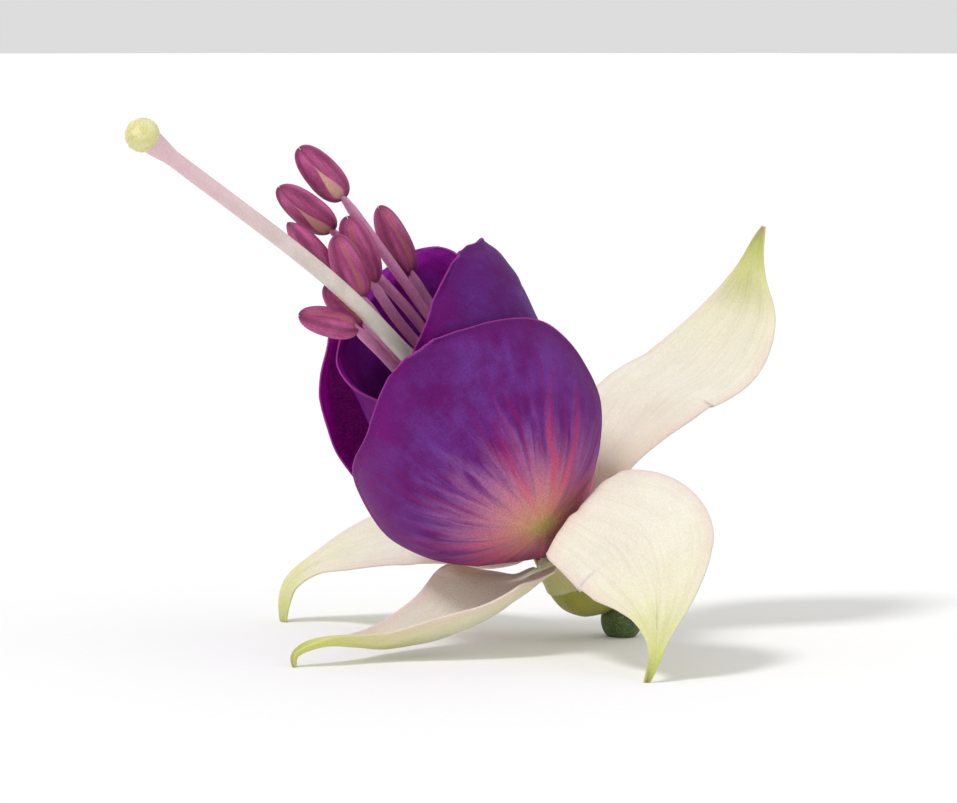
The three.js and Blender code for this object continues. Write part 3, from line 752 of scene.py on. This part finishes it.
class Nodes:
    """Adds nodes to one tree and joins them; each method gives back the socket that it makes."""

    def __init__(self, tree):
        self.tree = tree

    def add(self, kind, **settings):
        node = self.tree.nodes.new(kind)
        for key, value in settings.items():
            setattr(node, key, value)
        return node

    def feed(self, socket, value):
        """Links a socket to another, or sets its value."""
        if isinstance(value, bpy.types.NodeSocket):
            self.tree.links.new(value, socket)
        else:
            socket.default_value = value

    def math(self, operation, first, second=0.0, clamp=False):
        node = self.add("ShaderNodeMath", operation=operation, use_clamp=clamp)
        self.feed(node.inputs[0], first)
        self.feed(node.inputs[1], second)
        return node.outputs[0]

    def times(self, first, second):
        return self.math("MULTIPLY", first, second)

    def mix(self, amount, first, second, blend="MIX"):
        node = self.add("ShaderNodeMix", data_type="RGBA", blend_type=blend)
        self.feed(node.inputs[0], amount)
        self.feed(node.inputs[6], first)
        self.feed(node.inputs[7], second)
        return node.outputs[2]

    def between(self, value, low, high, from_value=0.0, to_value=1.0):
        """Eases from one value to the other while `value` goes from low to high."""
        node = self.add("ShaderNodeMapRange", interpolation_type="SMOOTHSTEP")
        for name, given in (("Value", value), ("From Min", low), ("From Max", high),
                            ("To Min", from_value), ("To Max", to_value)):
            self.feed(node.inputs[name], given)
        return node.outputs["Result"]

    def noise(self, vector, scale, detail=3.0, roughness=0.55, distortion=0.0):
        node = self.add("ShaderNodeTexNoise")
        for name, given in (("Vector", vector), ("Scale", scale), ("Detail", detail),
                            ("Roughness", roughness), ("Distortion", distortion)):
            self.feed(node.inputs[name], given)
        return node.outputs["Fac"]

    def streaks(self, across, along, *texture):
        """Noise over two places, each given with its own scale."""
        return self.noise(self.combine(self.times(*across), self.times(*along)), 1.0, *texture)

    def ramp(self, value, stops):
        """A colour from (value, colour) stops."""
        low, high = stops[0][0], stops[-1][0]
        node = self.add("ShaderNodeValToRGB")
        share = self.math("DIVIDE", self.math("SUBTRACT", value, low), high - low)
        self.feed(node.inputs[0], share)
        bar = node.color_ramp
        bar.elements[1].position = 1.0
        for at, _ in stops[1:-1]:
            bar.elements.new((at - low) / (high - low))
        for element, (_, tint) in zip(bar.elements, stops):
            element.color = colour(*tint)
        return node.outputs[0]

    def speckle(self, base, cells, low, high):
        """A colour made a little darker and lighter by a fine grain."""
        grain = self.between(cells, 0.0, 1.0, low, high)
        return self.mix(1.0, base, self.combine(grain, grain, grain), "MULTIPLY")

    def combine(self, x, y, z=0.0):
        node = self.add("ShaderNodeCombineXYZ")
        for socket, value in zip(node.inputs, (x, y, z)):
            self.feed(socket, value)
        return node.outputs[0]

    def attribute(self, name):
        return self.add("ShaderNodeAttribute", attribute_name=name).outputs["Fac"]

    def group(self, group, **values):
        node = self.add("ShaderNodeGroup", node_tree=group)
        for name, value in values.items():
            self.feed(node.inputs[name.replace("_", " ").title()], value)
        return node.outputs


def new_shader_group(name, inputs, outputs):
    """A shader node group with named sockets; returns it with its helper, inputs and outputs."""
    group = bpy.data.node_groups.new(name, "ShaderNodeTree")
    for title, kind in inputs:
        group.interface.new_socket(title, in_out="INPUT", socket_type="NodeSocket" + kind)
    for title, kind in outputs:
        group.interface.new_socket(title, in_out="OUTPUT", socket_type="NodeSocket" + kind)
    nodes = Nodes(group)
    given = nodes.add("NodeGroupInput").outputs
    result = nodes.add("NodeGroupOutput").inputs
    return group, nodes, given, result


def tissue_group():
    """Uneven patches and a fine grain of cells, sized in millimetres on the piece."""
    group, nodes, given, result = new_shader_group(
        "Plant tissue",
        [("Place", "Vector"), ("Patch Size", "Float"), ("Cell Size", "Float")],
        [("Patches", "Float"), ("Cells", "Float")])
    patch_scale = nodes.math("DIVIDE", 1 / MM, given["Patch Size"])
    patches = nodes.noise(given["Place"], patch_scale, 4.0, 0.6)
    cell_scale = nodes.math("DIVIDE", 1 / MM, given["Cell Size"])
    cells = nodes.noise(given["Place"], cell_scale, 2.0, 0.7)
    nodes.feed(result["Patches"], nodes.between(patches, 0.32, 0.68))
    nodes.feed(result["Cells"], nodes.between(cells, 0.25, 0.75))
    return group


def vein_group():
    """Veins that fan out from a petal's claw, each with its own strength and length."""
    group, nodes, given, result = new_shader_group(
        "Fanning veins",
        [("Fan", "Float"), ("Reach", "Float"), ("Spacing", "Float"), ("Width", "Float"),
         ("Waver", "Float"), ("Length", "Float")],
        [("Veins", "Float")])
    drift = nodes.streaks((given["Fan"], 0.06), (given["Reach"], 0.16), 2.0)
    drift = nodes.times(nodes.math("SUBTRACT", drift, 0.5), given["Waver"])
    lane = nodes.math("DIVIDE", nodes.math("ADD", given["Fan"], drift), given["Spacing"])
    off_lane = nodes.math("ABSOLUTE", nodes.math("SUBTRACT", nodes.math("FRACT", lane), 0.5))
    off_angle = nodes.times(nodes.math("RADIANS", given["Spacing"]), off_lane)
    off = nodes.times(off_angle, given["Reach"])
    chance = nodes.add("ShaderNodeTexWhiteNoise", noise_dimensions="1D")
    nodes.feed(chance.inputs["W"], nodes.math("FLOOR", lane))
    strength = nodes.between(chance.outputs["Value"], 0.0, 1.0, 0.45, 1.0)
    length = nodes.times(given["Length"], strength)
    line = nodes.between(off, 0.0, given["Width"], 1.0, 0.0)
    fade = nodes.between(given["Reach"], nodes.times(length, 0.3), length, 1.0, 0.0)
    nodes.feed(result["Veins"], nodes.times(nodes.times(line, fade), strength))
    return group


def new_material(name):
    """A material with its Principled shader; returns the material, helper and shader inputs."""
    material = bpy.data.materials.new(name)
    material.use_nodes = True
    nodes = Nodes(material.node_tree)
    shader = material.node_tree.nodes["Principled BSDF"]
    return material, nodes, shader.inputs


def place_on_piece(nodes):
    """Where a point is, in its piece's own directions."""
    return nodes.add("ShaderNodeTexCoord").outputs["Object"]


def blade_uv(nodes):
    """The places across and along a blade, from its own UV map."""
    spread = nodes.add("ShaderNodeSeparateXYZ")
    nodes.feed(spread.inputs[0], nodes.add("ShaderNodeUVMap", uv_map="organ").outputs["UV"])
    return spread.outputs["X"], spread.outputs["Y"]


def roughen(nodes, shader, height, distance, strength=0.5):
    """Raises the surface by a height from 0 to 1, `distance` in millimetres."""
    bump = nodes.add("ShaderNodeBump")
    bump.inputs["Strength"].default_value = strength
    bump.inputs["Distance"].default_value = distance * MM
    nodes.feed(bump.inputs["Height"], height)
    nodes.feed(shader["Normal"], bump.outputs["Normal"])


def scatter(shader, weight, depth):
    """Lets some light into the surface; `depth` is in millimetres."""
    shader["Subsurface Weight"].default_value = weight
    shader["Subsurface Scale"].default_value = depth * MM


def skin_material(name, tissue, patch_size, cell_size):
    """A material with the tissue's patches and cells, as its first texture."""
    material, nodes, shader = new_material(name)
    texture = nodes.group(tissue, place=place_on_piece(nodes), patch_size=patch_size,
                          cell_size=cell_size)
    return material, nodes, shader, texture


# ---- Materials: finishes ---------------------------------------------------------------

# What differs from petal to petal: the main violet, the bluer sheen painted on it (its
# "bloom"), the magenta flush with the side it lies on, the inner face, painted lighter to stand
# in for light shining through the petal, with its own painted sheen, and how far the veins
# and the pale glow round the claw reach, in millimetres.
PETAL_LOOKS = {
    "petal_front": {"main": (98, 14, 104), "bloom": (108, 52, 142), "flush": (120, 6, 118),
                    "flush_side": 0.0, "inner": (150, 8, 150), "inner_bloom": (130, 44, 170),
                    "veins": 19.0, "glow": 13.0},
    "petal_upper": {"main": (88, 10, 98), "bloom": (92, 44, 132), "flush": (108, 0, 106),
                    "flush_side": 0.0, "inner": (120, 4, 124), "inner_bloom": (116, 40, 160),
                    "veins": 30.0, "glow": 18.0},
    "petal_back": {"main": (104, 22, 116), "bloom": (120, 66, 158), "flush": (120, 10, 116),
                   "flush_side": 1.0, "inner": (132, 2, 138), "inner_bloom": (136, 50, 172),
                   "veins": 16.0, "glow": 10.0},
    "petal_left": {"main": (96, 20, 110), "bloom": (112, 70, 158), "flush": (120, 0, 108),
                   "flush_side": 0.0, "inner": (196, 0, 178), "inner_bloom": (184, 0, 168),
                   "veins": 16.0, "glow": 10.0},
}
CLAW_COLOURS = [(0.0, (200, 176, 112)), (2.0, (212, 162, 128)), (4.5, (212, 148, 152)),
                (7.5, (190, 122, 164)), (12.0, (146, 92, 162))]
VEIN_COLOURS = [(1.5, (216, 150, 126)), (5.0, (208, 92, 122)), (10.0, (176, 40, 104)),
                (17.0, (120, 10, 100))]


def petal_finish(name, look, tissue, veins):
    """Velvety violet, pale round the claw, with pink veins, a painted bluish sheen and a painted
    highlight on the rim.
    """
    material, nodes, shader, texture = skin_material(name + " velvet", tissue, 3.2, 0.14)
    across = blade_uv(nodes)[0]
    inside, rim, fan, reach = (nodes.attribute(key) for key in ("inside", "rim", "fan", "reach"))
    streaks = nodes.streaks((fan, 0.16), (reach, 0.14), 4.0, 0.58, 0.5)

    # The bloom is painted sheen: bluer, lighter patches over the violet, fainter near the rim.
    bloom = nodes.times(texture["Patches"], nodes.between(streaks, 0.3, 0.7, 0.45, 1.0))
    bloom = nodes.times(bloom, nodes.between(rim, 0.5, 5.0, 0.2, 1.0))
    base = nodes.mix(bloom, colour(*look["main"]), colour(*look["bloom"]))
    from_side = nodes.math("ABSOLUTE", nodes.math("SUBTRACT", across, look["flush_side"]))
    flush = nodes.times(nodes.between(from_side, 0.02, 0.34, 0.9, 0.0),
                        nodes.between(texture["Patches"], 0.0, 1.0, 1.0, 0.5))
    base = nodes.mix(flush, base, colour(*look["flush"]))

    uneven = nodes.math("ADD", reach, nodes.between(streaks, 0.25, 0.75, 3.0, -3.0))
    glow = nodes.between(uneven, look["glow"] * 0.2, look["glow"], 0.92, 0.0)
    off_glow = nodes.math("ABSOLUTE", nodes.math("ADD", fan, 12.0))
    glow = nodes.times(glow, nodes.between(off_glow, 25.0, 85.0, 1.0, 0.45))
    base = nodes.mix(glow, base, nodes.ramp(reach, CLAW_COLOURS))
    main = nodes.group(veins, fan=fan, reach=reach, spacing=15.0, width=0.85, waver=18.0,
                       length=look["veins"])["Veins"]
    fine = nodes.group(veins, fan=fan, reach=reach, spacing=5.2, width=0.4, waver=9.0,
                       length=look["veins"] * 1.3)["Veins"]
    vein = nodes.math("MAXIMUM", main, nodes.times(fine, 0.3))
    base = nodes.mix(nodes.times(vein, 0.88), base, nodes.ramp(reach, VEIN_COLOURS))
    base = nodes.mix(nodes.between(reach, 0.2, 2.2, 0.8, 0.0), base, colour(196, 180, 108))

    # The inner face: a magenta painted lighter to stand in for light shining through the petal, with
    # painted sheen in the same patches.
    inner = nodes.mix(bloom, colour(*look["inner"]), colour(*look["inner_bloom"]))
    base = nodes.mix(inside, base, inner)
    # A painted highlight: a lighter pink line along the free rim.
    base = nodes.mix(nodes.between(rim, 0.04, 0.26, 0.6, 0.0), base, colour(176, 72, 158))
    nodes.feed(shader["Base Color"], nodes.speckle(base, texture["Cells"], 0.8, 1.16))

    nodes.feed(shader["Roughness"], nodes.between(texture["Cells"], 0.0, 1.0, 0.5, 0.68))
    shader["Specular IOR Level"].default_value = 0.12
    height = nodes.math("ADD", nodes.times(texture["Cells"], 0.4), nodes.times(streaks, 0.9))
    height = nodes.math("SUBTRACT", height, nodes.times(main, 0.35))
    roughen(nodes, shader, height, 0.12, 0.6)
    return material


SEPAL_COLOURS = [(-0.1, (178, 176, 96)), (0.0, (196, 192, 124)), (0.08, (232, 222, 206)),
                 (0.5, (232, 227, 214)), (0.74, (228, 224, 196)), (0.88, (208, 212, 124)),
                 (0.95, (178, 192, 80)), (0.98, (158, 164, 72)), (1.0, (134, 104, 70))]


def sepal_finish(tissue):
    """Cream white with fine veins, a faint pink edge and a green tip, yellower on the outside."""
    material, nodes, shader, texture = skin_material("sepal wax", tissue, 4.0, 0.2)
    across, along = blade_uv(nodes)
    inside, rim = nodes.attribute("inside"), nodes.attribute("rim")
    streaks = nodes.streaks((across, 34.0), (along, 3.4), 4.0, 0.65, 0.6)
    uneven = nodes.math("ADD", along, nodes.between(streaks, 0.3, 0.7, -0.03, 0.03))
    base = nodes.ramp(uneven, SEPAL_COLOURS)
    base = nodes.mix(nodes.times(texture["Patches"], 0.35), base, colour(220, 212, 194))
    base = nodes.mix(nodes.between(streaks, 0.46, 0.7, 0.0, 0.3), base, colour(206, 197, 174))
    outside = nodes.times(nodes.math("SUBTRACT", 1.0, inside),
                          nodes.between(along, 0.35, 0.9, 0.25, 0.75))
    base = nodes.mix(outside, base, colour(206, 206, 118))
    blush = nodes.times(nodes.between(rim, 0.1, 1.4, 0.42, 0.0),
                        nodes.between(along, 0.6, 0.85, 1.0, 0.0))
    base = nodes.mix(blush, base, colour(226, 192, 186))
    nodes.feed(shader["Base Color"], nodes.speckle(base, texture["Cells"], 0.95, 1.03))
    nodes.feed(shader["Roughness"], nodes.between(texture["Cells"], 0.0, 1.0, 0.46, 0.6))
    shader["Specular IOR Level"].default_value = 0.3
    scatter(shader, 0.32, 1.2)
    shader["Subsurface Radius"].default_value = (1.0, 0.9, 0.6)
    height = nodes.math("ADD", nodes.times(texture["Cells"], 0.3), nodes.times(streaks, 0.8))
    roughen(nodes, shader, height, 0.18, 0.45)
    return material


def tube_finish(tissue):
    """Olive green, paler towards the mouth, with soft streaks."""
    material, nodes, shader, texture = skin_material("tube skin", tissue, 1.8, 0.16)
    around, depth = blade_uv(nodes)
    base = nodes.mix(nodes.between(depth, 0.0, 0.45), colour(206, 204, 142), colour(160, 156, 62))
    base = nodes.mix(nodes.between(depth, 0.6, 1.0), base, colour(132, 138, 52))
    streaks = nodes.streaks((around, 26.0), (depth, 1.5), 3.0)
    base = nodes.mix(nodes.between(streaks, 0.4, 0.7, 0.0, 0.4), base, colour(134, 140, 54))
    nodes.feed(shader["Base Color"], nodes.speckle(base, texture["Cells"], 0.88, 1.08))
    nodes.feed(shader["Roughness"], nodes.between(texture["Patches"], 0.0, 1.0, 0.36, 0.5))
    scatter(shader, 0.1, 0.5)
    height = nodes.math("ADD", streaks, nodes.times(texture["Cells"], 0.5))
    roughen(nodes, shader, height, 0.08, 0.5)
    return material


def ovary_finish(tissue):
    """Dark green with paler specks."""
    material, nodes, shader, texture = skin_material("ovary skin", tissue, 1.1, 0.14)
    base = nodes.mix(texture["Patches"], colour(46, 70, 26), colour(82, 104, 48))
    base = nodes.mix(nodes.between(texture["Cells"], 0.62, 0.95, 0.0, 0.6), base, colour(150, 160, 104))
    nodes.feed(shader["Base Color"], base)
    nodes.feed(shader["Roughness"], nodes.between(texture["Patches"], 0.0, 1.0, 0.42, 0.6))
    roughen(nodes, shader, texture["Cells"], 0.1, 0.6)
    return material


def anther_finish(tissue):
    """Mauve pollen sacs with darker furrows, a brown seam in front and a cream wedge behind."""
    material, nodes, shader, texture = skin_material("anther skin", tissue, 1.4, 0.12)
    around, level = blade_uv(nodes)
    streaks = nodes.streaks((around, 11.0), (level, 1.8), 4.0, 0.6, 0.4)
    base = nodes.mix(nodes.between(streaks, 0.3, 0.7), colour(156, 58, 110), colour(196, 96, 148))

    def band(at, core, width):
        off = nodes.math("ABSOLUTE", nodes.math("SUBTRACT", around, at))
        return nodes.between(off, core, width, 1.0, 0.0)

    furrows = band(ANTHER_SLITS[0] / 360, 0.0, 0.06)
    for at in ANTHER_SLITS[1:]:
        furrows = nodes.math("MAXIMUM", furrows, band(at / 360, 0.0, 0.06))
    base = nodes.mix(nodes.times(furrows, 0.6), base, colour(116, 40, 76))
    seam = nodes.times(band(0.75, 0.0, 0.045), nodes.between(streaks, 0.35, 0.65, 0.3, 0.9))
    base = nodes.mix(seam, base, colour(176, 104, 84))
    wedge_edge = nodes.between(level, 0.05, 0.68, 0.1, 0.012)
    wedge = nodes.times(band(0.25, nodes.times(wedge_edge, 0.6), wedge_edge),
                        nodes.between(level, 0.5, 0.78, 1.0, 0.0))
    base = nodes.mix(nodes.times(wedge, 0.9), base, colour(228, 184, 160))
    ends = nodes.times(nodes.math("ABSOLUTE", nodes.math("SUBTRACT", level, 0.5)), 2.0)
    base = nodes.mix(nodes.between(ends, 0.75, 1.0, 0.0, 0.5), base, colour(112, 42, 74))
    nodes.feed(shader["Base Color"], nodes.speckle(base, texture["Cells"], 0.86, 1.12))
    nodes.feed(shader["Roughness"], nodes.between(texture["Patches"], 0.0, 1.0, 0.5, 0.68))
    shader["Specular IOR Level"].default_value = 0.3
    scatter(shader, 0.08, 0.4)
    height = nodes.math("ADD", texture["Cells"], nodes.times(streaks, 1.5))
    roughen(nodes, shader, height, 0.08, 0.6)
    return material


def filament_finish(tissue):
    """Rose pink, a little deeper towards the tube."""
    material, nodes, shader, texture = skin_material("filament skin", tissue, 2.2, 0.15)
    along = nodes.attribute("along")
    base = nodes.mix(along, colour(196, 96, 154), colour(218, 150, 190))
    base = nodes.mix(nodes.times(texture["Patches"], 0.5), base, colour(202, 116, 166))
    nodes.feed(shader["Base Color"], nodes.speckle(base, texture["Cells"], 0.9, 1.08))
    nodes.feed(shader["Roughness"], nodes.between(texture["Cells"], 0.0, 1.0, 0.4, 0.55))
    scatter(shader, 0.2, 0.4)
    roughen(nodes, shader, texture["Cells"], 0.05, 0.5)
    return material


def style_finish(tissue):
    """Ivory, flushed pink under the stigma."""
    material, nodes, shader, texture = skin_material("style skin", tissue, 2.5, 0.15)
    along = nodes.attribute("along")
    base = nodes.mix(texture["Patches"], colour(226, 222, 210), colour(210, 205, 190))
    base = nodes.mix(nodes.between(along, 0.55, 0.98, 0.0, 0.75), base, colour(226, 184, 198))
    nodes.feed(shader["Base Color"], nodes.speckle(base, texture["Cells"], 0.94, 1.05))
    nodes.feed(shader["Roughness"], nodes.between(texture["Cells"], 0.0, 1.0, 0.34, 0.5))
    scatter(shader, 0.25, 0.6)
    roughen(nodes, shader, texture["Cells"], 0.04, 0.5)
    return material


def stigma_finish(tissue):
    """Cream yellow, with paler specks."""
    material, nodes, shader, texture = skin_material("stigma skin", tissue, 0.9, 0.12)
    base = nodes.mix(texture["Patches"], colour(240, 230, 176), colour(226, 212, 140))
    base = nodes.mix(nodes.between(texture["Cells"], 0.5, 1.0, 0.0, 0.3), base, colour(246, 240, 206))
    nodes.feed(shader["Base Color"], base)
    nodes.feed(shader["Roughness"], nodes.between(texture["Cells"], 0.0, 1.0, 0.4, 0.58))
    scatter(shader, 0.3, 0.5)
    roughen(nodes, shader, texture["Cells"], 0.05, 0.5)
    return material


# ---- The bloom -------------------------------------------------------------------------


def seat(piece, node, material=None):
    """Makes a piece stand for a node of the frame, with its finish."""
    if material is not None:
        piece.data.materials.clear()
        piece.data.materials.append(material)
    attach(piece, "root")
    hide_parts(node)


def dress_bloom():
    """Builds every organ of the bloom, finished and seated on the frame."""
    tissue, veins = tissue_group(), vein_group()
    rods, papillae = rod_tree(), papilla_tree()

    seat(ovary(), "ovary", ovary_finish(tissue))
    seat(floral_tube(), "floral_tube", tube_finish(tissue))
    wax = sepal_finish(tissue)
    for seed, (node, shape) in enumerate(SEPALS.items()):
        seat(sepal(node + "_blade", shape, seed), node, wax)
    for seed, (node, rows) in enumerate(PETALS.items(), start=10):
        finish = petal_finish(node, PETAL_LOOKS[node], tissue, veins)
        seat(petal(node + "_blade", rows, seed), node, finish)

    rose, mauve = filament_finish(tissue), anther_finish(tissue)
    for number, stamen in enumerate(STAMENS, start=1):
        path = path_object(f"filament_{number}_rod", filament_path(**stamen))
        rod = grow_rod(path, rods, FILAMENT_RADIUS, FILAMENT_NECK, FILAMENT_NECK_START, 20, rose)
        seat(rod, f"filament_{number}")
        sacs = anther(f"anther_{number}_sacs", *stamen["anther"], stamen["turn"])
        seat(sacs, f"anther_{number}", mauve)

    path = path_object("style_rod", style_path())
    rod = grow_rod(path, rods, STYLE_RADIUS, STYLE_NECK, STYLE_NECK_START, 32, style_finish(tissue))
    seat(rod, "style")
    knob = grow(stigma(), papillae, radius=PAPILLA_RADIUS * MM, spacing=PAPILLA_SPACING * MM, seed=5,
                finish=stigma_finish(tissue))
    seat(knob, "stigma")


# ---- Floor, light and camera -----------------------------------------------------------

FLOOR_RADIUS = 3.0
CAMERA_PLACE = (0.001265, -0.39553, 0.06025)
CAMERA_DROP = math.radians(5.5)  # how far it looks down
CAMERA_LENS = 167.2

WORLD_STRENGTH = 0.72
LAMPS = [  # name, azimuth, elevation, strength, spread; angles in degrees
    ("key", -50, 55, 1.4, 14),
    ("fill", 60, 30, 0.3, 60),
]


def lay_floor():
    """A plain pale floor, far wider than the view."""
    angle = np.linspace(0, 2 * math.pi, 96, endpoint=False)
    rim = np.stack([FLOOR_RADIUS * np.cos(angle), FLOOR_RADIUS * np.sin(angle), 0 * angle], axis=-1)
    mesh = bpy.data.meshes.new("floor")
    mesh.from_pydata(rim.tolist(), [], [list(range(len(rim)))])
    floor = add_object("floor", mesh)
    material, nodes, shader = new_material("floor paper")
    grain = nodes.noise(place_on_piece(nodes), 900.0, 3.0)
    nodes.feed(shader["Base Color"], nodes.mix(grain, colour(246, 246, 246), colour(243, 243, 244)))
    shader["Roughness"].default_value = 0.9
    shader["Specular IOR Level"].default_value = 0.1
    mesh.materials.append(material)


def add_soft_sun(name, azimuth, elevation, strength, spread):
    """A wide distant lamp; azimuth runs from the viewer's side round to the right."""
    lamp = bpy.data.lights.new(name, "SUN")
    lamp.energy = strength
    lamp.angle = math.radians(spread)
    holder = add_object(name, lamp)
    holder.rotation_euler = (math.radians(90 - elevation), 0, math.radians(azimuth))


def light_studio():
    """A bright even surround, with a soft key from the upper left and a weaker fill."""
    world = bpy.data.worlds.new("studio")
    world.use_nodes = True
    surround = world.node_tree.nodes["Background"].inputs
    surround["Color"].default_value = (1.0, 1.0, 1.0, 1.0)
    surround["Strength"].default_value = WORLD_STRENGTH
    bpy.context.scene.world = world
    for lamp in LAMPS:
        add_soft_sun(*lamp)
    bpy.context.scene.view_settings.view_transform = "Standard"


def set_camera():
    """The camera, in front of the bloom and looking a little down on it."""
    camera = add_object("camera", bpy.data.cameras.new("camera"))
    camera.location = CAMERA_PLACE
    camera.rotation_euler = (math.pi / 2 - CAMERA_DROP, 0, 0)
    camera.data.lens = CAMERA_LENS
    camera.data.clip_start = 0.01
    camera.data.clip_end = 20
    bpy.context.scene.camera = camera


# ---- The scene -------------------------------------------------------------------------

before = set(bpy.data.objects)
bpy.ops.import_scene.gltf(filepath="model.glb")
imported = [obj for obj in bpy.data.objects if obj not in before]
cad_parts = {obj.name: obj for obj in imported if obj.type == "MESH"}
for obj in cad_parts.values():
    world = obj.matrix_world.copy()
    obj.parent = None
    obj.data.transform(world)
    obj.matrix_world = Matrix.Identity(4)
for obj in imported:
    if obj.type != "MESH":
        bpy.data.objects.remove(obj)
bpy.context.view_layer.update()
set_camera()
lay_floor()
light_studio()
dress_bloom()


def plain(box):
    """A box's corners as lists of plain numbers."""
    return [[float(value) for value in corner] for corner in box]
